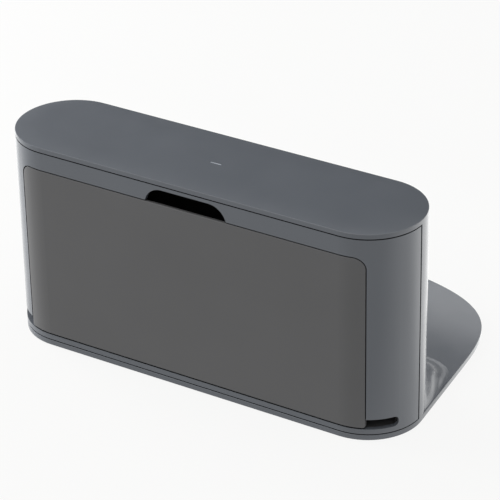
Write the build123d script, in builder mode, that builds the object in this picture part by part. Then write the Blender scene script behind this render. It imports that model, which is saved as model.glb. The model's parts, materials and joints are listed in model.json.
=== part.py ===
from build123d import *
import os
from math import acos, asin, cos, pi, radians, sin, sqrt

os.makedirs("parts", exist_ok=True)

# A desk-top cable box: an upright housing on a broad flat foot. The outer frame is one moulding that runs
# over the top, down the back and out into the foot. A front shell and a drop-down door close the other side.
# Origin: centre of the housing's plan, on the desk. X runs along the housing, the foot reaches towards +Y
# and the door faces -Y.

# ---- driving dimensions, mm ----
LENGTH = 300.0
DEPTH = 75.5
FRAME_HEIGHT = 150.5
FOOT_REACH = 167.0
PAD_PROUD = 0.8

GAP = 0.8
SEAM_GAP = 1.4
PLATE_T = 3.6
TOP_T = 3.75
CROWN_DROP = 0.5
CROWN_WIDTH = 15.0
WALL_T = 3.0
SHELL_T = 3.2
DOOR_T = 2.0
TRAY_T = 1.6
SKIN_T = 2.0
TRAY_INSET = 3.4
EDGE_R = 0.4

# ---- heights above the desk ----
BASE_Z = PAD_PROUD
FLOOR_Z = BASE_Z + PLATE_T
TOP_Z = BASE_Z + FRAME_HEIGHT
CEILING_Z = TOP_Z - TOP_T
RECESS_Z = FLOOR_Z - SKIN_T
SILL_Z = BASE_Z + 8.0
OPENING_TOP = BASE_Z + 133.6
TRAY_FLOOR_Z = SILL_Z - 0.1
TRAY_BASE = TRAY_FLOOR_Z - TRAY_T
TRAY_TOP = OPENING_TOP + 2.6

# ---- housing plan: a stadium, two half circles joined by straight walls ----
END_R = DEPTH / 2
END_X = LENGTH / 2 - END_R
SEAM_Y = -0.26
CENTRED_UP = (Align.CENTER, Align.CENTER, Align.MIN)

# ---- foot plan ----
TAPER = 5.3
SIDE_RUN = 72.4
SIDE_HANDLE = 47.7
REAR_HANDLE = 133.0

# ---- flare between the rear wall and the foot: a quarter ellipse in every upright section ----
FLARE_REACH = 34.0
FLARE_HEIGHT = 40.0
FLARE_BLEND = 4
FLARE_SUNK = 0.1
FLARE_TOE = 0.03
FLARE_STEPS = 10
FIRST_ANGLE = 4.0

# ---- door and its opening ----
OPENING_HALF = 129.7
OPENING_TOP_R = 8.6
OPENING_BOTTOM_R = 1.5
SIDE_GAP = 0.72
DOOR_LOW = SILL_Z + GAP
DOOR_HIGH = OPENING_TOP - GAP
DOOR_EDGE_R = 0.5
NOTCH_WIDTH = 61.8
NOTCH_TOP = BASE_Z + 143.6
NOTCH_R = 13.3
NOTCH_LOW = OPENING_TOP - 6.0

# ---- cable slots, round the two lower corners ----
SLOT_FROM = 27.0
SLOT_TO = 60.8
SLOT_TOP = BASE_Z + 15.2
SLOT_R = 3.2
SLOT_ANGLE = (SLOT_FROM + SLOT_TO) / 2
SLOT_HALF = END_R * sin(radians((SLOT_TO - SLOT_FROM) / 2))

# ---- hinge ----
HINGE_X = 88.0
HINGE_Y = -END_R + 3.2
HINGE_Z = DOOR_LOW + 7.6
PIN_R = 0.9
PIN_FIT = 0.05
EYE_R = 1.9
EYE_WIDTH = 8.0
CHEEK_WIDTH = 3.0
CHEEK_GAP = 0.4

# ---- fasteners ----
SCREW_R = 1.25
SCREW_CLEAR_R = 1.45
SCREW_TIP = 0.4
PAN_R = 2.3
PAN_T = 1.5
PAN_SOFT = 0.5
BOSS_R = 3.2
BASE_SCREW_R = 1.5
CSK_R = 2.8
CSK_T = 1.3
CROSS_LENGTH = 2.6
CROSS_WIDTH = 0.6
CROSS_DEPTH = 0.6

# ---- underside, insets from the foot's outline ----
RECESS_INSET = 4.0
BASE_PLATE_INSET = 4.4
PAD_INSET = 4.9
PAD_T = 0.9


def on_end(angle, inset, z, side=1):
    """Point on the housing's end wall, angle degrees round from the front face."""
    reach = END_R - inset
    return (side * (END_X + reach * sin(radians(angle))), -reach * cos(radians(angle)), z)


def radial_plane(angle, z, side):
    """Plane square to the end wall: local Z points outwards, local Y up and local X towards the back."""
    a = radians(angle)
    outward = Vector(side * sin(a), -cos(a), 0)
    backward = Vector(side * cos(a), sin(a), 0)
    if side < 0:
        backward = -backward
    return Plane(origin=(side * END_X, 0, z), x_dir=backward, z_dir=outward)


def stadium(inset, hole=None):
    """Plan of the housing drawn in by inset, or the ring between that and a deeper inset."""
    with BuildSketch(mode=Mode.PRIVATE) as plan:
        SlotCenterToCenter(2 * END_X, 2 * (END_R - inset))
        if hole is not None:
            SlotCenterToCenter(2 * END_X, 2 * (END_R - hole), mode=Mode.SUBTRACT)
    return plan.sketch


def footprint(inset):
    """Plan of base and foot: the housing's front, tapering sides and a broad rounded rear edge."""
    turn = radians(TAPER)
    front = END_R - inset
    rear = FOOT_REACH - inset
    tangent = (END_X + front * cos(turn), front * sin(turn))
    side_end = (tangent[0] - SIDE_RUN * sin(turn), tangent[1] + SIDE_RUN * cos(turn))
    handle = SIDE_HANDLE - 0.5 * inset
    side_pull = (side_end[0] - handle * sin(turn), side_end[1] + handle * cos(turn))
    with BuildSketch(mode=Mode.PRIVATE) as plan:
        with BuildLine():
            CenterArc((END_X, 0), front, -90, 90 + TAPER)
            Line(tangent, side_end)
            Bezier(side_end, side_pull, (REAR_HANDLE - 0.5 * inset, rear), (0, rear))
            mirror(about=Plane.YZ)
            Line((-END_X, -front), (END_X, -front))
        make_face()
    return plan.sketch


def flare_reach(angle):
    """How far the flare stands out from the end wall, angle degrees behind the seam."""
    lean = radians(angle - TAPER)
    room = END_R * (1 / cos(lean) - 1) - EDGE_R - 0.1
    if room <= 0:
        return 0.0
    return (room**-FLARE_BLEND + FLARE_REACH**-FLARE_BLEND) ** (-1 / FLARE_BLEND)


def flare_section(share):
    """Plan of the flare where it has spread by this share of its full reach."""
    points = []
    for step in range(16):
        angle = FIRST_ANGLE + (90 - FIRST_ANGLE) * step / 15
        reach = END_R + share * flare_reach(min(angle, 88.0)) - FLARE_SUNK
        points.append((END_X + reach * cos(radians(angle)), reach * sin(radians(angle))))
    with BuildSketch(mode=Mode.PRIVATE) as plan:
        with BuildLine():
            Spline(*points, tangents=[(0, 1), (-1, 0)])
            Line(points[-1], (0, points[-1][1]))
            mirror(about=Plane.YZ)
            Line((-points[0][0], points[0][1]), points[0])
        make_face()
    return plan.sketch


def door_outline(width_cut, height_cut):
    """Front view of the door opening, drawn smaller all round by the two cuts."""
    low = SILL_Z + height_cut
    high = OPENING_TOP - height_cut
    with BuildSketch(mode=Mode.PRIVATE) as face:
        with Locations((0, (low + high) / 2)):
            Rectangle(2 * (OPENING_HALF - width_cut), high - low)
        fillet(face.vertices().group_by(Axis.Y)[-1], OPENING_TOP_R - width_cut)
        fillet(face.vertices().group_by(Axis.Y)[0], OPENING_BOTTOM_R)
    return face.sketch


def notch_outline():
    """Front view of the finger notch above the door."""
    with BuildSketch(mode=Mode.PRIVATE) as face:
        with Locations((0, (NOTCH_LOW + NOTCH_TOP) / 2)):
            Rectangle(NOTCH_WIDTH, NOTCH_TOP - NOTCH_LOW)
        fillet(face.vertices().group_by(Axis.Y)[-1], NOTCH_R)
    return face.sketch


def slot_outline(back, low, high, radius):
    """View square to a cable slot: it opens into the door opening and ends, rounded, at back."""
    with BuildSketch(mode=Mode.PRIVATE) as face:
        with Locations(((back - 2 * SLOT_HALF) / 2, (low + high) / 2)):
            Rectangle(back + 2 * SLOT_HALF, high - low)
        fillet(face.vertices().group_by(Axis.X)[-1], radius)
    return face.sketch


def mirrored(face):
    return mirror(face, about=Plane.YZ, mode=Mode.PRIVATE)


def soft_plate(plan, low, thickness):
    """Flat plate with its upper edge softened."""
    with BuildPart(mode=Mode.PRIVATE) as plate:
        with BuildSketch(Plane.XY.offset(low)):
            add(plan)
        extrude(amount=thickness)
        fillet(plate.edges().group_by(Axis.Z)[-1], EDGE_R)
    return plate.part


def crown_section():
    """Half section of the top plate, radius across and height up: its rim falls away to a soft edge."""
    rim = (END_R - CROWN_WIDTH, TOP_Z)
    edge = (END_R, TOP_Z - CROWN_DROP)
    with BuildSketch(mode=Mode.PRIVATE) as section:
        with BuildLine():
            TangentArc(rim, edge, tangent=(1, 0))
            Polyline(edge, (END_R, CEILING_Z), (0, CEILING_Z), (0, TOP_Z), rim)
        make_face()
        fillet(section.vertices().sort_by_distance(edge)[0], EDGE_R)
    return section.sketch


def top_plate():
    """The section drawn along the straight and turned about both ends."""
    section = crown_section()
    with BuildPart(mode=Mode.PRIVATE) as end:
        with BuildSketch(Plane.XZ):
            add(section)
        revolve(axis=Axis.Z)
    with BuildPart(mode=Mode.PRIVATE) as plate:
        with BuildSketch(Plane.YZ):
            add(section)
            mirror(section, about=Plane.YZ)
        extrude(amount=END_X, both=True)
        with Locations((-END_X, 0, 0), (END_X, 0, 0)):
            add(end.part)
    return plate.part


def cross_slot(z):
    """Cross recess for a driver, half above and half below the height z."""
    with BuildPart(mode=Mode.PRIVATE) as recess:
        with Locations((0, 0, z)):
            Box(CROSS_LENGTH, CROSS_WIDTH, 2 * CROSS_DEPTH)
            Box(CROSS_WIDTH, CROSS_LENGTH, 2 * CROSS_DEPTH)
    return recess.part


def pan_screw(length):
    """Screw along its own Z: the head's seat is at 0, the head above it and the shank below."""
    with BuildPart(mode=Mode.PRIVATE) as screw:
        Cylinder(PAN_R, PAN_T, align=CENTRED_UP)
        fillet(screw.edges().group_by(Axis.Z)[-1], PAN_SOFT)
        add(cross_slot(PAN_T), mode=Mode.SUBTRACT)
        with Locations((0, 0, -length)):
            Cylinder(SCREW_R, length, align=CENTRED_UP)
        chamfer(screw.edges().group_by(Axis.Z)[0], SCREW_TIP)
    return screw.part


def countersunk_screw(length):
    """Flat-headed screw along Z: the head's face is at 0 and the shank rises from it."""
    with BuildPart(mode=Mode.PRIVATE) as screw:
        Cone(CSK_R, BASE_SCREW_R, CSK_T, align=CENTRED_UP)
        Cylinder(BASE_SCREW_R, length, align=CENTRED_UP)
        add(cross_slot(0), mode=Mode.SUBTRACT)
    return screw.part


TRAY_SCREWS = [(x, y) for x in (-60, 60) for y in (-14, 14)]
HINGE_SCREWS = [(side * (HINGE_X + dx), -17.0) for side in (-1, 1) for dx in (-4, 4)]
BASE_SCREWS_LOW = [(-90, 12), (90, 12), (-25, -16), (25, -16)]
BASE_SCREWS_HIGH = [(-104, 50), (104, 50)]
TRAY_SCREW_HOLE_LOW = RECESS_Z + 0.6
BASE_SCREW_SHORT = 5.3
BASE_SCREW_LONG = 7.4
BASE_HOLE_SPARE = 0.1
SHELL_SCREW_ANGLE = 50.0
SHELL_SCREW_PLANES = [
    radial_plane(SHELL_SCREW_ANGLE, z, side) for side in (-1, 1) for z in (45.0, 115.0)
]

# ---- outer frame: top plate, rear wall, flare, foot and base in one piece ----
POCKET_COUNT = 6
POCKET_PITCH = 32.0
POCKET_WIDTH = 28.0
POCKET_SKIN = 2.6
POCKET_NEAR = 0.6
REBATE_DEPTH = 6.5
REBATE_SKIN = 2.0
MARK_LENGTH = 8.2
MARK_WIDTH = 1.3
MARK_DEPTH = 1.2
MARK_SUNK = 0.15


def flare_pocket():
    """Upright section of one coring pocket under the flare, in the YZ plane."""
    near = END_R + POCKET_NEAR
    centre_y = END_R + FLARE_REACH
    centre_z = FLOOR_Z + FLARE_HEIGHT
    half_y = FLARE_REACH + POCKET_SKIN
    half_z = FLARE_HEIGHT + POCKET_SKIN
    turns = [acos((centre_y - near) / half_y), asin((centre_z - RECESS_Z) / half_z)]
    turns.insert(1, sum(turns) / 2)
    arc = [(centre_y - half_y * cos(t), centre_z - half_z * sin(t)) for t in turns]
    with BuildSketch(Plane.YZ, mode=Mode.PRIVATE) as face:
        with BuildLine():
            ThreePointArc(*arc)
            Polyline(arc[-1], (arc[-1][0], BASE_Z), (near, BASE_Z), arc[0])
        make_face()
    return face.sketch


def flare():
    """The flare with the housing's rear half inside it, lofted through level sections from top to toe."""
    with BuildPart(mode=Mode.PRIVATE) as body:
        for step in range(FLARE_STEPS):
            turn = pi / 2 * step / (FLARE_STEPS - 1)
            with BuildSketch(Plane.XY.offset(FLOOR_Z - FLARE_TOE + FLARE_HEIGHT * (1 - sin(turn)))):
                add(flare_section(1 - cos(turn)))
        loft()
    return body.part


def flare_pockets():
    centres = [(index - (POCKET_COUNT - 1) / 2) * POCKET_PITCH for index in range(POCKET_COUNT)]
    face = flare_pocket()
    return [extrude(face.moved(Location((x, 0, 0))), POCKET_WIDTH / 2, both=True) for x in centres]


TOP_PLATE = top_plate()
FLARE = flare()
POCKETS = flare_pockets()
with BuildPart() as outer_frame:
    add(soft_plate(footprint(0), BASE_Z, PLATE_T))
    with BuildSketch(Plane.XY.offset(BASE_Z)):
        add(stadium(0))
        with Locations((0, SEAM_Y + SEAM_GAP / 2 - DEPTH / 2)):
            Rectangle(LENGTH, DEPTH, mode=Mode.SUBTRACT)
    extrude(amount=CEILING_Z - BASE_Z)
    add(FLARE)
    with BuildSketch(Plane.XY.offset(FLOOR_Z)):
        add(stadium(WALL_T))
    extrude(amount=CEILING_Z - FLOOR_Z, mode=Mode.SUBTRACT)
    add(TOP_PLATE)
    with BuildSketch(Plane.XY.offset(FLOOR_Z)):
        add(stadium(REBATE_SKIN, WALL_T))
        with Locations((0, SEAM_Y + REBATE_DEPTH + DEPTH / 2)):
            Rectangle(LENGTH, DEPTH, mode=Mode.SUBTRACT)
    extrude(amount=CEILING_Z - FLOOR_Z, mode=Mode.SUBTRACT)
    with BuildSketch(Plane.XY.offset(BASE_Z)):
        add(footprint(RECESS_INSET))
    extrude(amount=RECESS_Z - BASE_Z, mode=Mode.SUBTRACT)
    add(POCKETS, mode=Mode.SUBTRACT)
    with Locations(*[(x, y, FLOOR_Z) for x, y in TRAY_SCREWS + BASE_SCREWS_LOW]):
        Cylinder(BOSS_R, TRAY_BASE - FLOOR_Z, align=CENTRED_UP)
    with Locations(*[(x, y, TRAY_SCREW_HOLE_LOW) for x, y in TRAY_SCREWS]):
        Cylinder(SCREW_R, TRAY_BASE - TRAY_SCREW_HOLE_LOW, align=CENTRED_UP, mode=Mode.SUBTRACT)
    with Locations(*[(x, y, PAD_T) for x, y in BASE_SCREWS_LOW]):
        Cylinder(BASE_SCREW_R, BASE_SCREW_SHORT + BASE_HOLE_SPARE, align=CENTRED_UP, mode=Mode.SUBTRACT)
    with Locations(*[(x, y, PAD_T) for x, y in BASE_SCREWS_HIGH]):
        Cylinder(BASE_SCREW_R, BASE_SCREW_LONG + BASE_HOLE_SPARE, align=CENTRED_UP, mode=Mode.SUBTRACT)
    with BuildSketch(Plane.XY.offset(TOP_Z - MARK_DEPTH)):
        SlotOverall(MARK_LENGTH, MARK_WIDTH)
    extrude(amount=MARK_DEPTH, mode=Mode.SUBTRACT)
outer_frame.part.label = "outer_frame"
export_step(outer_frame.part, "parts/outer_frame.step")

# ---- front shell: the outer skin between base and top plate, with lips behind the shadow gaps ----
LIP_INSET = 2.2
LIP_SLACK = 0.1
TONGUE = 6.0
SHELL_SEAM = SEAM_Y - SEAM_GAP / 2
SLOT_CUT_DEPTH = 8.0
SHELL_BOSS_T = 0.55
SHELL_SKIN = 0.8


def slot_cut(side, face, near, far):
    """Solid block over a cable slot's outline, from near to far out from the end's own axis."""
    plane = radial_plane(SLOT_ANGLE, 0, side)
    outline = face if side > 0 else mirrored(face)
    return extrude(plane.offset(near) * outline, far - near, mode=Mode.PRIVATE)


SLOT_FACE = slot_outline(SLOT_HALF, SILL_Z, SLOT_TOP, SLOT_R)
with BuildPart() as front_shell:
    with BuildSketch(Plane.XY.offset(FLOOR_Z + GAP)):
        add(stadium(0, SHELL_T))
        with Locations((0, SHELL_SEAM + DEPTH / 2)):
            Rectangle(LENGTH, DEPTH, mode=Mode.SUBTRACT)
    extrude(amount=CEILING_Z - FLOOR_Z - 2 * GAP)
    with BuildSketch(Plane.XY.offset(FLOOR_Z + LIP_SLACK)):
        add(stadium(LIP_INSET, SHELL_T))
        with Locations((0, SHELL_SEAM + TONGUE + DEPTH / 2)):
            Rectangle(LENGTH, DEPTH, mode=Mode.SUBTRACT)
    extrude(amount=CEILING_Z - FLOOR_Z - 2 * LIP_SLACK)
    for plane in SHELL_SCREW_PLANES:
        with Locations(plane.offset(END_R - TRAY_INSET + 0.05)):
            Cylinder(BOSS_R, SHELL_BOSS_T, align=CENTRED_UP)
    with BuildSketch(Plane.XZ):
        add(door_outline(0, 0))
        add(notch_outline())
    extrude(amount=DEPTH, mode=Mode.SUBTRACT)
    for side in (-1, 1):
        add(slot_cut(side, SLOT_FACE, END_R - SLOT_CUT_DEPTH, DEPTH), mode=Mode.SUBTRACT)
    for plane in SHELL_SCREW_PLANES:
        with Locations(plane.offset(END_R - SLOT_CUT_DEPTH)):
            Cylinder(SCREW_R, SLOT_CUT_DEPTH - SHELL_SKIN, align=CENTRED_UP, mode=Mode.SUBTRACT)
front_shell.part.label = "front_shell"
export_step(front_shell.part, "parts/front_shell.step")

# ---- cable tray: the black tub inside, open at the front and at both cable slots, and its snap-in lid ----
TRAY_OUT = END_R - TRAY_INSET
TRAY_OPENING_HALF = 125.6
TRAY_OPENING_TOP = 130.6
TRAY_SLOT_TOP = 19.0
TRAY_SLOT_BACK = 12.2
CUT_MARGIN = 1.0

# room behind the door's ends, whose lower edge swings inwards as the door opens
HEEL_INNER = TRAY_OPENING_HALF - 0.2
HEEL_OUTER = 129.8
HEEL_FRONT = -34.5
HEEL_BACK = -25.5
HEEL_TOP = 20.8

# room for fingertips behind the notch
RECESS_HALF = 33.0
RECESS_LOW = 128.0
RECESS_BACK = -22.0

MAGNET_X = 100.0
MAGNET_Z = 126.5
MAGNET_R = 4.0
MAGNET_T = 3.0
MAGNET_FRONT = -34.1
MAGNET_BLOCK_LOW = 121.0
MAGNET_BLOCK_WIDTH = 14.0
MAGNET_BLOCK_T = 4.6
TRAY_SLOT_CUT = 7.0
HINGE_BOSS_LOW = FLOOR_Z + 0.2
HINGE_BOSS_HOLE_LOW = FLOOR_Z + 0.8

LID_LOW = TRAY_TOP - TRAY_T
LID_RIM_LOW = LID_LOW - 1.2
LID_RIM_OUT = TRAY_INSET + TRAY_T + 0.1
LID_RIM_T = 1.2
LID_RIM_FRONT = -26.0


def span(low, high):
    """Solid block between two opposite corners."""
    size = Vector(*high) - Vector(*low)
    with BuildPart(mode=Mode.PRIVATE) as block:
        with Locations(Vector(*low) + size / 2):
            Box(size.X, size.Y, size.Z)
    return block.part


def both_sides(low, high):
    """The block at positive X and its mirror image."""
    block = span(low, high)
    return [block, mirror(block, about=Plane.YZ, mode=Mode.PRIVATE)]


def magnet_seat(side):
    """Plane of a magnet's inner face, its Z towards the door."""
    return Plane.XZ.offset(-MAGNET_FRONT - MAGNET_T) * Location((side * MAGNET_X, MAGNET_Z))


TRAY_SLOT = slot_outline(TRAY_SLOT_BACK, TRAY_FLOOR_Z, TRAY_SLOT_TOP, SLOT_R)
TRAY_SLOTS = [slot_cut(side, TRAY_SLOT, TRAY_OUT - TRAY_SLOT_CUT, END_R) for side in (-1, 1)]
HEEL_ROOM = both_sides((HEEL_INNER, HEEL_FRONT, TRAY_FLOOR_Z), (HEEL_OUTER, HEEL_BACK, HEEL_TOP))
FINGER_ROOM = span((-RECESS_HALF, -END_R, RECESS_LOW), (RECESS_HALF, RECESS_BACK, TRAY_TOP + CUT_MARGIN))
MAGNET_BLOCKS = both_sides(
    (MAGNET_X - MAGNET_BLOCK_WIDTH / 2, MAGNET_FRONT, MAGNET_BLOCK_LOW),
    (MAGNET_X + MAGNET_BLOCK_WIDTH / 2, MAGNET_FRONT + MAGNET_BLOCK_T, LID_LOW),
)

with BuildPart() as cable_tray:
    with BuildSketch(Plane.XY.offset(TRAY_BASE)):
        add(stadium(TRAY_INSET))
    extrude(amount=LID_LOW - TRAY_BASE)
    with BuildSketch(Plane.XY.offset(TRAY_FLOOR_Z)):
        add(stadium(TRAY_INSET + TRAY_T))
    extrude(amount=LID_LOW - TRAY_FLOOR_Z, mode=Mode.SUBTRACT)
    with BuildSketch(Plane.XZ.offset(END_R / 2)):
        with Locations((0, (TRAY_FLOOR_Z + TRAY_OPENING_TOP) / 2)):
            Rectangle(2 * TRAY_OPENING_HALF, TRAY_OPENING_TOP - TRAY_FLOOR_Z)
    extrude(amount=END_R, mode=Mode.SUBTRACT)
    add(TRAY_SLOTS + HEEL_ROOM + [FINGER_ROOM], mode=Mode.SUBTRACT)
    add(MAGNET_BLOCKS)
    for side in (-1, 1):
        with Locations(magnet_seat(side)):
            Cylinder(MAGNET_R, MAGNET_T + CUT_MARGIN, align=CENTRED_UP, mode=Mode.SUBTRACT)
    with Locations(*[(x, y, HINGE_BOSS_LOW) for x, y in HINGE_SCREWS]):
        Cylinder(BOSS_R, TRAY_BASE - HINGE_BOSS_LOW, align=CENTRED_UP)
    with Locations(*[(x, y, HINGE_BOSS_HOLE_LOW) for x, y in HINGE_SCREWS]):
        Cylinder(SCREW_R, TRAY_FLOOR_Z - HINGE_BOSS_HOLE_LOW, align=CENTRED_UP, mode=Mode.SUBTRACT)
    with Locations(*[(x, y, TRAY_BASE) for x, y in TRAY_SCREWS]):
        Cylinder(SCREW_CLEAR_R, TRAY_T, align=CENTRED_UP, mode=Mode.SUBTRACT)
    for plane in SHELL_SCREW_PLANES:
        with Locations(plane.offset(TRAY_OUT - TRAY_T - CUT_MARGIN)):
            Cylinder(SCREW_CLEAR_R, TRAY_T + 2 * CUT_MARGIN, align=CENTRED_UP, mode=Mode.SUBTRACT)
cable_tray.part.label = "cable_tray"
export_step(cable_tray.part, "parts/cable_tray.step")

with BuildPart() as tray_lid:
    with BuildSketch(Plane.XY.offset(LID_LOW)):
        add(stadium(TRAY_INSET))
    extrude(amount=TRAY_T)
    with BuildSketch(Plane.XY.offset(LID_RIM_LOW)):
        add(stadium(LID_RIM_OUT, LID_RIM_OUT + LID_RIM_T))
        with Locations((0, LID_RIM_FRONT - DEPTH / 2)):
            Rectangle(LENGTH, DEPTH, mode=Mode.SUBTRACT)
    extrude(amount=LID_LOW - LID_RIM_LOW)
    add(FINGER_ROOM, mode=Mode.SUBTRACT)
tray_lid.part.label = "tray_lid"
export_step(tray_lid.part, "parts/tray_lid.step")

# ---- door: curved round both ends, hinged along its foot and dropping forwards ----
CHEEK_OFFSET = EYE_WIDTH / 2 + CHEEK_GAP + CHEEK_WIDTH / 2
RELIEF_WIDTH = EYE_WIDTH + 2.0
RELIEF_HEIGHT = 6.4
RELIEF_T = 1.0
WEB_ROOT = 0.75
DOOR_INNER_Y = -END_R + DOOR_T


def is_outside(edge):
    """True for an edge of the door's outer skin, leaving out the tangent seams where flat meets curve."""
    middle = edge.position_at(0.5)
    over = max(abs(middle.X) - END_X, 0)
    on_skin = abs(sqrt(over**2 + middle.Y**2) - END_R) < 0.01
    on_seam = abs(abs(middle.X) - END_X) < 0.01
    return on_skin and not on_seam


def cheek():
    """Side view of a hinge cheek, Y across and Z up: an eye round the pin on a web from the door."""
    with BuildSketch(mode=Mode.PRIVATE) as face:
        with Locations((HINGE_Y, HINGE_Z)):
            Circle(EYE_R)
        with Locations((HINGE_Y, HINGE_Z)):
            Rectangle(HINGE_Y - DOOR_INNER_Y + WEB_ROOT, 2 * EYE_R, align=(Align.MAX, Align.CENTER))
    return face.sketch


def place_pin(side):
    return Plane.YZ.offset(side * HINGE_X) * Location((HINGE_Y, HINGE_Z))


with BuildPart() as door_panel:
    with BuildSketch(Plane.XY.offset(DOOR_LOW)):
        add(stadium(0, DOOR_T))
    extrude(amount=DOOR_HIGH - DOOR_LOW)
    with BuildSketch(Plane.XZ):
        add(door_outline(SIDE_GAP, GAP))
    extrude(amount=DEPTH, mode=Mode.INTERSECT)
    fillet(door_panel.edges().filter_by(is_outside), DOOR_EDGE_R)
    for side in (-1, 1):
        with Locations((side * HINGE_X, DOOR_INNER_Y, HINGE_Z)):
            Box(RELIEF_WIDTH, 2 * RELIEF_T, RELIEF_HEIGHT, mode=Mode.SUBTRACT)
        for x in (side * HINGE_X - CHEEK_OFFSET, side * HINGE_X + CHEEK_OFFSET):
            with BuildSketch(Plane.YZ.offset(x)):
                add(cheek())
            extrude(amount=CHEEK_WIDTH / 2, both=True)
        with Locations(place_pin(side)):
            Cylinder(PIN_R, 2 * EYE_WIDTH, mode=Mode.SUBTRACT)
door_panel.part.label = "door_panel"
export_step(door_panel.part, "parts/door_panel.step")

# ---- hinges: a pin pressed into the door's cheeks, turning in the eye of a bracket on the tray floor ----
PIN_LENGTH = EYE_WIDTH + 2 * (CHEEK_GAP + CHEEK_WIDTH)
ARM_LOW = HINGE_Z - 0.5
ARM_TOP = 20.0
STEM_FRONT = -25.6
STEM_T = 3.0
FOOT_BACK = -12.0
FOOT_T = 2.2
FOOT_WIDTH = 14.0


def bracket(side):
    """Bracket: eye, arm, stem and a screwed foot."""
    with BuildPart(mode=Mode.PRIVATE) as body:
        with BuildSketch(Plane.YZ.offset(side * HINGE_X)):
            with Locations((HINGE_Y, HINGE_Z)):
                Circle(EYE_R)
            with Locations(((HINGE_Y + STEM_FRONT) / 2, (ARM_LOW + ARM_TOP) / 2)):
                Rectangle(STEM_FRONT - HINGE_Y, ARM_TOP - ARM_LOW)
            with Locations((STEM_FRONT + STEM_T / 2, (TRAY_FLOOR_Z + ARM_TOP) / 2)):
                Rectangle(STEM_T, ARM_TOP - TRAY_FLOOR_Z)
        extrude(amount=EYE_WIDTH / 2, both=True)
        with Locations((side * HINGE_X, (STEM_FRONT + FOOT_BACK) / 2, TRAY_FLOOR_Z)):
            Box(FOOT_WIDTH, FOOT_BACK - STEM_FRONT, FOOT_T, align=CENTRED_UP)
        with Locations(place_pin(side)):
            Cylinder(PIN_R + PIN_FIT, FOOT_WIDTH, mode=Mode.SUBTRACT)
        with Locations(*[(x, y, TRAY_FLOOR_Z) for x, y in HINGE_SCREWS if x * side > 0]):
            Cylinder(SCREW_CLEAR_R, FOOT_T, align=CENTRED_UP, mode=Mode.SUBTRACT)
    return body.part


with BuildPart() as hinge_pin_left:
    with Locations(place_pin(-1)):
        Cylinder(PIN_R, PIN_LENGTH)
hinge_pin_left.part.label = "hinge_pin_left"
export_step(hinge_pin_left.part, "parts/hinge_pin_left.step")

with BuildPart() as hinge_pin_right:
    with Locations(place_pin(1)):
        Cylinder(PIN_R, PIN_LENGTH)
hinge_pin_right.part.label = "hinge_pin_right"
export_step(hinge_pin_right.part, "parts/hinge_pin_right.step")

with BuildPart() as hinge_bracket_left:
    add(bracket(-1))
hinge_bracket_left.part.label = "hinge_bracket_left"
export_step(hinge_bracket_left.part, "parts/hinge_bracket_left.step")

with BuildPart() as hinge_bracket_right:
    add(bracket(1))
hinge_bracket_right.part.label = "hinge_bracket_right"
export_step(hinge_bracket_right.part, "parts/hinge_bracket_right.step")

# ---- catches: a magnet in the tray's front edge and a steel plate on the door, at each end ----
STRIKE_WIDTH = 14.0
STRIKE_HEIGHT = 8.0
STRIKE_T = 0.8
STRIKE_CORNER_R = 1.0
STRIKE_Z = MAGNET_Z + 0.5
BUMPER_X = 70.0
BUMPER_WIDTH = 12.0
BUMPER_HEIGHT = 2.4
BUMPER_T = 1.2
BUMPER_Z = (TRAY_OPENING_TOP + DOOR_HIGH) / 2


def strike_plate(side):
    with BuildPart(mode=Mode.PRIVATE) as plate:
        with Locations((side * MAGNET_X, DOOR_INNER_Y + STRIKE_T / 2, STRIKE_Z)):
            Box(STRIKE_WIDTH, STRIKE_T, STRIKE_HEIGHT)
        fillet(plate.edges().filter_by(Axis.Y), STRIKE_CORNER_R)
    return plate.part


with BuildPart() as catch_magnet_left:
    with Locations(magnet_seat(-1)):
        Cylinder(MAGNET_R, MAGNET_T, align=CENTRED_UP)
catch_magnet_left.part.label = "catch_magnet_left"
export_step(catch_magnet_left.part, "parts/catch_magnet_left.step")

with BuildPart() as catch_magnet_right:
    with Locations(magnet_seat(1)):
        Cylinder(MAGNET_R, MAGNET_T, align=CENTRED_UP)
catch_magnet_right.part.label = "catch_magnet_right"
export_step(catch_magnet_right.part, "parts/catch_magnet_right.step")

with BuildPart() as strike_plate_left:
    add(strike_plate(-1))
strike_plate_left.part.label = "strike_plate_left"
export_step(strike_plate_left.part, "parts/strike_plate_left.step")

with BuildPart() as strike_plate_right:
    add(strike_plate(1))
strike_plate_right.part.label = "strike_plate_right"
export_step(strike_plate_right.part, "parts/strike_plate_right.step")

with BuildPart() as door_bumpers:
    with Locations(*[(x, -TRAY_OUT - BUMPER_T / 2, BUMPER_Z) for x in (-BUMPER_X, BUMPER_X)]):
        Box(BUMPER_WIDTH, BUMPER_T, BUMPER_HEIGHT)
door_bumpers.part.label = "door_bumpers"
export_step(door_bumpers.part, "parts/door_bumpers.step")

# ---- cable slot grommets: rubber edging at the back and top of each slot ----
GROMMET_OUT = SHELL_T + 0.1
GROMMET_IN = TRAY_INSET + TRAY_T
GROMMET_FRONT = -6.5
GROMMET_T = 2.3
GROMMET_HEAD = 3.3
GROMMET_R = 2.0
GROMMET_END_R = 0.5


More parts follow.
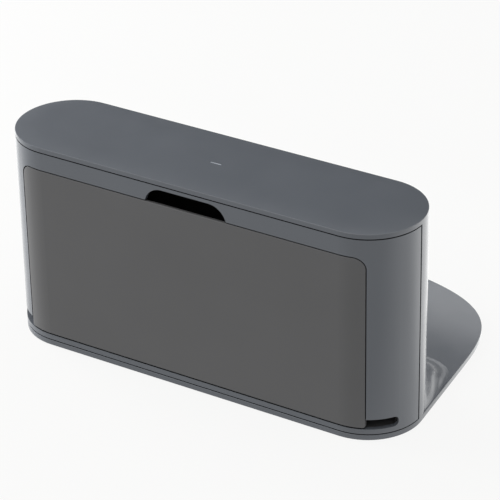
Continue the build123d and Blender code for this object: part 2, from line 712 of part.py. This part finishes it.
def grommet(side):
    """Rubber edging bent to the end wall's curve, filling the tray's slot around the cables' way out."""
    way_out = slot_outline(TRAY_SLOT_BACK - GROMMET_T, TRAY_FLOOR_Z, TRAY_SLOT_TOP - GROMMET_HEAD, GROMMET_R)
    front = slot_outline(GROMMET_FRONT, TRAY_FLOOR_Z, TRAY_SLOT_TOP, GROMMET_END_R)
    with BuildPart(mode=Mode.PRIVATE) as body:
        with BuildSketch(Plane.XY.offset(TRAY_FLOOR_Z)):
            add(stadium(GROMMET_OUT, GROMMET_IN))
        extrude(amount=TRAY_SLOT_TOP - TRAY_FLOOR_Z)
        add(slot_cut(side, TRAY_SLOT, TRAY_OUT - TRAY_SLOT_CUT, END_R), mode=Mode.INTERSECT)
        add(slot_cut(side, way_out, TRAY_OUT - TRAY_SLOT_CUT, END_R), mode=Mode.SUBTRACT)
        add(slot_cut(side, front, TRAY_OUT - TRAY_SLOT_CUT, END_R), mode=Mode.SUBTRACT)
    return body.part


with BuildPart() as slot_grommet_left:
    add(grommet(-1))
slot_grommet_left.part.label = "slot_grommet_left"
export_step(slot_grommet_left.part, "parts/slot_grommet_left.step")

with BuildPart() as slot_grommet_right:
    add(grommet(1))
slot_grommet_right.part.label = "slot_grommet_right"
export_step(slot_grommet_right.part, "parts/slot_grommet_right.step")

# ---- screws ----
SCREW_LENGTH = 5.6
SHELL_SCREW_SEAT = END_R - 5.15
SHELL_SCREW_LENGTH = 4.2


def facing_inwards(plane):
    """Seat of a shell screw's head: on the end wall's radius, local Z towards the end's own axis."""
    seat = plane.offset(SHELL_SCREW_SEAT)
    return Plane(origin=seat.origin, x_dir=seat.x_dir, z_dir=-seat.z_dir)


TRAY_SCREW = pan_screw(SCREW_LENGTH)
SHELL_SCREW = pan_screw(SHELL_SCREW_LENGTH)

with BuildPart() as tray_screws:
    with Locations(*[(x, y, TRAY_FLOOR_Z) for x, y in TRAY_SCREWS]):
        add(TRAY_SCREW)
tray_screws.part.label = "tray_screws"
export_step(tray_screws.part, "parts/tray_screws.step")

with BuildPart() as hinge_screws:
    with Locations(*[(x, y, TRAY_FLOOR_Z + FOOT_T) for x, y in HINGE_SCREWS]):
        add(TRAY_SCREW)
hinge_screws.part.label = "hinge_screws"
export_step(hinge_screws.part, "parts/hinge_screws.step")

with BuildPart() as shell_screws:
    with Locations(*[facing_inwards(plane) for plane in SHELL_SCREW_PLANES]):
        add(SHELL_SCREW)
shell_screws.part.label = "shell_screws"
export_step(shell_screws.part, "parts/shell_screws.step")

# ---- underside: steel ballast plate, its countersunk screws and a non-slip pad ----
BASE_SCREWS = BASE_SCREWS_LOW + BASE_SCREWS_HIGH

with BuildPart() as base_plate:
    with BuildSketch(Plane.XY.offset(PAD_T)):
        add(footprint(BASE_PLATE_INSET))
    extrude(amount=RECESS_Z - PAD_T)
    with Locations(*[(x, y, PAD_T) for x, y in BASE_SCREWS]):
        Cylinder(BASE_SCREW_R, RECESS_Z - PAD_T, align=CENTRED_UP, mode=Mode.SUBTRACT)
        Cone(CSK_R, BASE_SCREW_R, CSK_T, align=CENTRED_UP, mode=Mode.SUBTRACT)
base_plate.part.label = "base_plate"
export_step(base_plate.part, "parts/base_plate.step")

with BuildPart() as base_screws:
    with Locations(*[(x, y, PAD_T) for x, y in BASE_SCREWS_LOW]):
        add(countersunk_screw(BASE_SCREW_SHORT))
    with Locations(*[(x, y, PAD_T) for x, y in BASE_SCREWS_HIGH]):
        add(countersunk_screw(BASE_SCREW_LONG))
base_screws.part.label = "base_screws"
export_step(base_screws.part, "parts/base_screws.step")

with BuildPart() as base_pad:
    with BuildSketch():
        add(footprint(PAD_INSET))
    extrude(amount=PAD_T)
base_pad.part.label = "base_pad"
export_step(base_pad.part, "parts/base_pad.step")

# ---- index mark let into the top plate ----
with BuildPart() as top_mark:
    with BuildSketch(Plane.XY.offset(TOP_Z - MARK_DEPTH)):
        SlotOverall(MARK_LENGTH, MARK_WIDTH)
    extrude(amount=MARK_DEPTH - MARK_SUNK)
top_mark.part.label = "top_mark"
export_step(top_mark.part, "parts/top_mark.step")
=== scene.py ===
import json
from math import cos, radians, sin

import bpy
from mathutils import Matrix, Vector

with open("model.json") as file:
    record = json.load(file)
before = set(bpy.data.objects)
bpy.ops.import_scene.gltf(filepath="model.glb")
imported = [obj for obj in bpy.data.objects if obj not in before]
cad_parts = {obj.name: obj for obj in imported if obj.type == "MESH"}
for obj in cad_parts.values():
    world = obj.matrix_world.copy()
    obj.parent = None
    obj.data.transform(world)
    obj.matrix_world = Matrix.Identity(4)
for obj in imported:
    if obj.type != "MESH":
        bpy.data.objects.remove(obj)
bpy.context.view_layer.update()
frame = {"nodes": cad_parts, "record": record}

scene = bpy.context.scene

# ---------------------------------------------------------------- materials
# A noise is its scale, in features per metre, and its detail. Depths and widths are in metres.
NOISE_LOW = 0.3
NOISE_HIGH = 0.7

DRIFT_NOISE = (14, 3)
DRIFT_SHARE = 0.03
ETCH_NOISE = (1500, 2)
ETCH_DEPTH = 0.00002
ETCH_STRENGTH = 0.5
GLOSS_NOISE = (60, 4)
GLOSS_SPREAD = 0.03

# Painted shade: gaps and recesses narrower than CREVICE_WIDTH get their base colour pulled towards near black
# by an ambient-occlusion mask.
CREVICE_WIDTH = 0.003
PAINTED_SHADE_COLOUR = 0.004
CREVICE_DARKEST = 0.25
CREVICE_CLEAR = 0.6
CREVICE_SAMPLES = 8

BRUSH_NOISE = (900, 3)
BRUSH_SHARE = 0.08
BRUSH_GLOSS_SPREAD = 0.08
BRUSH_DEPTH = 0.00001
BRUSH_STRENGTH = 0.3

RUBBER_NOISE = (120, 3)
RUBBER_SHARE = 0.1
RUBBER_ROUGHNESS = 0.8
RUBBER_ETCH_NOISE = (2500, 2)
RUBBER_ETCH_DEPTH = 0.00003
RUBBER_ETCH_STRENGTH = 0.6

PLASTIC_IOR = 1.5
SLATE = (0.0825, 0.090, 0.102)
SLATE_ROUGHNESS = 0.2
SLATE_IOR = 1.6
DOOR_GREY = (0.075, 0.075, 0.0765)
DOOR_ROUGHNESS = 0.32
LINES_ALONG_X = (0.05, 1, 1)
LINES_ALONG_Z = (1, 1, 0.1)
NO_LINES = (1, 1, 1)


def new_material(name, colour, roughness, metallic=0.0):
    """Principled material with its nodes, ready for detail."""
    mat = bpy.data.materials.new(name)
    mat.use_nodes = True
    shader = mat.node_tree.nodes["Principled BSDF"]
    shader.inputs["Base Color"].default_value = (*colour, 1)
    shader.inputs["Roughness"].default_value = roughness
    shader.inputs["Metallic"].default_value = metallic
    return mat, shader


def noise(tree, scale, detail, stretch=(1, 1, 1)):
    """Noise in object space."""
    coords = tree.nodes.new("ShaderNodeTexCoord")
    mapping = tree.nodes.new("ShaderNodeMapping")
    mapping.inputs["Scale"].default_value = stretch
    field = tree.nodes.new("ShaderNodeTexNoise")
    field.inputs["Scale"].default_value = scale
    field.inputs["Detail"].default_value = detail
    tree.links.new(coords.outputs["Object"], mapping.inputs["Vector"])
    tree.links.new(mapping.outputs["Vector"], field.inputs["Vector"])
    return field.outputs["Fac"]


def spread(tree, value, low, high):
    """The usual range of a noise value, remapped to low-high."""
    node = tree.nodes.new("ShaderNodeMapRange")
    node.inputs["From Min"].default_value = NOISE_LOW
    node.inputs["From Max"].default_value = NOISE_HIGH
    node.inputs["To Min"].default_value = low
    node.inputs["To Max"].default_value = high
    tree.links.new(value, node.inputs["Value"])
    return node.outputs["Result"]


def mottle(tree, shader, colour, value, share):
    """Base colour that drifts by share, up and down, with a noise value."""
    mix = tree.nodes.new("ShaderNodeMix")
    mix.data_type = "RGBA"
    mix.inputs["A"].default_value = (*[c * (1 - share) for c in colour], 1)
    mix.inputs["B"].default_value = (*[c * (1 + share) for c in colour], 1)
    tree.links.new(spread(tree, value, 0, 1), mix.inputs["Factor"])
    tree.links.new(mix.outputs["Result"], shader.inputs["Base Color"])


def uneven_gloss(tree, shader, value, roughness, change):
    """Roughness that varies by change, up and down, with a noise value."""
    tree.links.new(spread(tree, value, roughness - change, roughness + change), shader.inputs["Roughness"])


def grain(tree, shader, value, depth, strength):
    """Fine relief."""
    bump = tree.nodes.new("ShaderNodeBump")
    bump.inputs["Strength"].default_value = strength
    bump.inputs["Distance"].default_value = depth
    tree.links.new(value, bump.inputs["Height"])
    tree.links.new(bump.outputs["Normal"], shader.inputs["Normal"])


def painted_crevice_shade(tree, shader):
    """Paints shade into the base colour in gaps and recesses narrower than CREVICE_WIDTH: where ambient
    occlusion is low, the colour is mixed towards near black.
    """
    colour = shader.inputs["Base Color"].links[0].from_socket
    cover = tree.nodes.new("ShaderNodeAmbientOcclusion")
    cover.inputs["Distance"].default_value = CREVICE_WIDTH
    cover.samples = CREVICE_SAMPLES
    open_share = tree.nodes.new("ShaderNodeMapRange")
    open_share.interpolation_type = "SMOOTHSTEP"
    open_share.inputs["From Min"].default_value = CREVICE_DARKEST
    open_share.inputs["From Max"].default_value = CREVICE_CLEAR
    tree.links.new(cover.outputs["AO"], open_share.inputs["Value"])
    mix = tree.nodes.new("ShaderNodeMix")
    mix.data_type = "RGBA"
    mix.inputs["A"].default_value = (PAINTED_SHADE_COLOUR, PAINTED_SHADE_COLOUR, PAINTED_SHADE_COLOUR, 1)
    tree.links.new(open_share.outputs["Result"], mix.inputs["Factor"])
    tree.links.new(colour, mix.inputs["B"])
    tree.links.new(mix.outputs["Result"], shader.inputs["Base Color"])


def moulded(name, colour, roughness, ior=PLASTIC_IOR, painted_gap_shade=False):
    """Moulded plastic with a fine etched texture and a faint drift in colour and gloss, and, where asked,
    shade painted into its gaps and recesses.
    """
    mat, shader = new_material(name, colour, roughness)
    tree = mat.node_tree
    shader.inputs["IOR"].default_value = ior
    mottle(tree, shader, colour, noise(tree, *DRIFT_NOISE), DRIFT_SHARE)
    grain(tree, shader, noise(tree, *ETCH_NOISE), ETCH_DEPTH, ETCH_STRENGTH)
    uneven_gloss(tree, shader, noise(tree, *GLOSS_NOISE), roughness, GLOSS_SPREAD)
    # Painted shade in gaps and recesses.
    if painted_gap_shade:
        painted_crevice_shade(tree, shader)
    return mat


def brushed(name, colour, roughness, stretch):
    """Metal with fine lines, drawn out where stretch is small."""
    mat, shader = new_material(name, colour, roughness, metallic=1.0)
    tree = mat.node_tree
    lines = noise(tree, *BRUSH_NOISE, stretch)
    mottle(tree, shader, colour, lines, BRUSH_SHARE)
    uneven_gloss(tree, shader, lines, roughness, BRUSH_GLOSS_SPREAD)
    grain(tree, shader, lines, BRUSH_DEPTH, BRUSH_STRENGTH)
    return mat


def rubbery(name, colour):
    """Dull rubber with a finer and deeper etch than the plastic."""
    mat, shader = new_material(name, colour, RUBBER_ROUGHNESS)
    tree = mat.node_tree
    mottle(tree, shader, colour, noise(tree, *RUBBER_NOISE), RUBBER_SHARE)
    grain(tree, shader, noise(tree, *RUBBER_ETCH_NOISE), RUBBER_ETCH_DEPTH, RUBBER_ETCH_STRENGTH)
    return mat


materials = {
    # The slate and door materials carry painted shade in their gaps and recesses.
    "frame_slate": moulded("frame_slate", SLATE, SLATE_ROUGHNESS, SLATE_IOR, painted_gap_shade=True),
    "shell_slate": moulded("shell_slate", SLATE, SLATE_ROUGHNESS, SLATE_IOR, painted_gap_shade=True),
    "door_grey": moulded("door_grey", DOOR_GREY, DOOR_ROUGHNESS, painted_gap_shade=True),
    "tray_black": moulded("tray_black", (0.04, 0.04, 0.041), 0.6),
    "mark_grey": moulded("mark_grey", (0.26, 0.28, 0.31), 0.35),
    "steel": brushed("steel", (0.55, 0.55, 0.54), 0.32, LINES_ALONG_X),
    "plate_steel": moulded("plate_steel", (0.03, 0.03, 0.032), 0.45),
    "screw_steel": brushed("screw_steel", (0.42, 0.42, 0.43), 0.3, LINES_ALONG_Z),
    "magnet_nickel": brushed("magnet_nickel", (0.62, 0.6, 0.56), 0.2, NO_LINES),
    "rubber_black": rubbery("rubber_black", (0.014, 0.014, 0.014)),
    "pad_rubber": rubbery("pad_rubber", (0.02, 0.02, 0.02)),
}
slot_of = {part["node"]: part["material_slot"] for part in frame["record"]["subparts"]}
for name, obj in frame["nodes"].items():
    obj.data.materials.clear()
    obj.data.materials.append(materials[slot_of[name]])


# ---------------------------------------------------------------- light that depends on direction
TINY = 0.0001


def maths(tree, operation, first, second=None):
    node = tree.nodes.new("ShaderNodeMath")
    node.operation = operation
    for socket, value in zip(node.inputs, (first, second)):
        if isinstance(value, (int, float)):
            socket.default_value = value
        elif value is not None:
            tree.links.new(value, socket)
    return node.outputs["Value"]


def total(tree, first, *others):
    for other in others:
        first = maths(tree, "ADD", first, other)
    return first


def product(tree, first, second):
    return maths(tree, "MULTIPLY", first, second)


def ease(tree, value, start, end, height):
    """0 at start and before it, rising smoothly to height at end, which may be the lower of the two."""
    node = tree.nodes.new("ShaderNodeMapRange")
    node.interpolation_type = "SMOOTHSTEP"
    node.inputs["From Min"].default_value = start
    node.inputs["From Max"].default_value = end
    node.inputs["To Max"].default_value = height
    tree.links.new(value, node.inputs["Value"])
    return node.outputs["Result"]


def ease_up(tree, z, start, end, height):
    """The same over the elevation of a direction, in degrees."""
    return ease(tree, z, sin(radians(start)), sin(radians(end)), height)


def plan_cosines(tree, vector):
    """The cosines of a vector's plan direction from +X and from +Y, and its Z."""
    parts = tree.nodes.new("ShaderNodeSeparateXYZ")
    tree.links.new(vector, parts.inputs["Vector"])
    x, y, z = parts.outputs
    reach = maths(tree, "SQRT", total(tree, product(tree, x, x), product(tree, y, y)))
    reach = total(tree, reach, TINY)
    return maths(tree, "DIVIDE", x, reach), maths(tree, "DIVIDE", y, reach), z


# ---------------------------------------------------------------- floor
FLOOR_SIZE = 14
FLOOR_ALBEDO = 0.04
FLOOR_TINT = (1, 1, 0.995, 1)
FLOOR_SEEN = 0.895
# Glow in front of the object, then what is added to it: from and to which cosine from +Y, and how much.
FLOOR_GLOW_FRONT = 0.56
FLOOR_GLOW_SIDE = (-0.5, 0.1, 0.6)
FLOOR_GLOW_REAR = (0.1, 0.6, 0.74)
FLOOR_GLOW_FAR_REAR = (0.7, 1.0, -0.13)


def floor():
    """White to the camera. What it sends to the object is stronger behind the object than in front of it."""
    bpy.ops.mesh.primitive_plane_add(size=FLOOR_SIZE, location=(0, 0, 0))
    plane = bpy.context.object
    plane.name = "floor"
    mat, shader = new_material("floor", (FLOOR_ALBEDO,) * 3, roughness=1.0)
    shader.inputs["Specular IOR Level"].default_value = 0
    shader.inputs["Emission Color"].default_value = FLOOR_TINT
    tree = mat.node_tree
    place = tree.nodes.new("ShaderNodeNewGeometry")
    _, behind, _ = plan_cosines(tree, place.outputs["Position"])
    steps = (FLOOR_GLOW_SIDE, FLOOR_GLOW_REAR, FLOOR_GLOW_FAR_REAR)
    glow = total(tree, FLOOR_GLOW_FRONT, *[ease(tree, behind, *step) for step in steps])
    path = tree.nodes.new("ShaderNodeLightPath")
    strength = tree.nodes.new("ShaderNodeMix")
    tree.links.new(path.outputs["Is Camera Ray"], strength.inputs["Factor"])
    tree.links.new(glow, strength.inputs["A"])
    strength.inputs["B"].default_value = FLOOR_SEEN
    tree.links.new(strength.outputs["Result"], shader.inputs["Emission Strength"])
    plane.data.materials.append(mat)


floor()

# ---------------------------------------------------------------- lights
HOUSING = (0, 0, 0.08)
HOUSING_HIGH = (-0.08, 0, 0.125)
# Name, place, what it points at, width and height, watts, and whether the object mirrors it.
LIGHTS = (
    ("left_panel", (-1.1, 0, 0.14), HOUSING, (1.0, 0.25), 10.8, False),
    ("high_left_panel", (-1.2, 0, 0.5), HOUSING, (1, 1), 25.9, False),
    ("rear_panel", (0.9, 1.1, 0.8), HOUSING, (1.8, 1.8), 5.6, True),
    ("foot_strip_high", (-0.08, 0.32, 0.125), HOUSING_HIGH, (0.6, 0.05), 0.165, True),
)


def area_light(name, place, aim, size, power, mirrored):
    data = bpy.data.lights.new(name, "AREA")
    data.shape = "RECTANGLE"
    data.size, data.size_y = size
    data.energy = power
    obj = bpy.data.objects.new(name, data)
    scene.collection.objects.link(obj)
    obj.location = place
    obj.rotation_euler = (Vector(aim) - Vector(place)).to_track_quat("-Z", "Y").to_euler()
    obj.visible_camera = False
    obj.visible_glossy = mirrored


for light in LIGHTS:
    area_light(*light)

# ---------------------------------------------------------------- sky
# The ceiling is even. Under it lies haze in front, to the left and to the right. Behind the object there is a
# glow along the horizon, a dark band, and a paler band up to the ceiling. Elevations are in degrees, and the
# sky's edges are cosines from +X or +Y.
CEILING = 1.32
CEILING_LOW = 45
CEILING_HIGH = 55
FRONT_SKY = 1.25
LEFT_SKY = 0.56
RIGHT_SKY = 0.61
SKY_EDGE = 0.5
SKY_FULL = 0.9
REAR_EDGE = 0.3
REAR_FULL = 0.8
REAR_HORIZON = 0.8
REAR_HORIZON_TOP = 22
REAR_HORIZON_FULL = -2
REAR_SKY = 0.87
REAR_SKY_LOW = 31
REAR_SKY_FULL = 46


def sky():
    world = bpy.data.worlds.new("studio")
    scene.world = world
    world.use_nodes = True
    tree = world.node_tree
    background = tree.nodes["Background"]
    background.inputs["Color"].default_value = (1, 1, 1, 1)
    coords = tree.nodes.new("ShaderNodeTexCoord")
    sideways, behind, z = plan_cosines(tree, coords.outputs["Generated"])
    ceiling = ease_up(tree, z, CEILING_LOW, CEILING_HIGH, CEILING)
    under_ceiling = ease_up(tree, z, CEILING_HIGH, CEILING_LOW, 1)
    haze = total(
        tree,
        ease(tree, behind, -SKY_EDGE, -SKY_FULL, FRONT_SKY),
        ease(tree, sideways, -SKY_EDGE, -SKY_FULL, LEFT_SKY),
        ease(tree, sideways, SKY_EDGE, SKY_FULL, RIGHT_SKY),
    )
    horizon = ease_up(tree, z, REAR_HORIZON_TOP, REAR_HORIZON_FULL, REAR_HORIZON)
    rear_sky = ease_up(tree, z, REAR_SKY_LOW, REAR_SKY_FULL, REAR_SKY)
    rear = total(tree, horizon, product(tree, rear_sky, under_ceiling))
    is_rear = ease(tree, behind, REAR_EDGE, REAR_FULL, 1)
    strength = total(tree, ceiling, product(tree, haze, under_ceiling), product(tree, is_rear, rear))
    tree.links.new(strength, background.inputs["Strength"])


sky()

scene.view_settings.view_transform = "Standard"
scene.view_settings.look = "None"
scene.view_settings.exposure = 0
scene.view_settings.gamma = 1

# ---------------------------------------------------------------- camera
AZIMUTH = radians(31.949)
ELEVATION = radians(29.543)
ROLL = radians(-1.127)
CAMERA_PLACE = (0.82285, -1.28005, 0.94923)
LENS = 192.66
SENSOR_WIDTH = 36
CLIP_START = 0.05

back = Vector((sin(AZIMUTH) * cos(ELEVATION), -cos(AZIMUTH) * cos(ELEVATION), sin(ELEVATION)))
level_right = Vector((cos(AZIMUTH), sin(AZIMUTH), 0))
level_up = back.cross(level_right)
right = cos(ROLL) * level_right + sin(ROLL) * level_up
up = -sin(ROLL) * level_right + cos(ROLL) * level_up
camera_data = bpy.data.cameras.new("camera")
camera_data.lens = LENS
camera_data.sensor_width = SENSOR_WIDTH
camera_data.clip_start = CLIP_START
camera = bpy.data.objects.new("camera", camera_data)
scene.collection.objects.link(camera)
turn = Matrix((right, up, back)).transposed().to_4x4()
camera.matrix_world = Matrix.Translation(CAMERA_PLACE) @ turn
scene.camera = camera
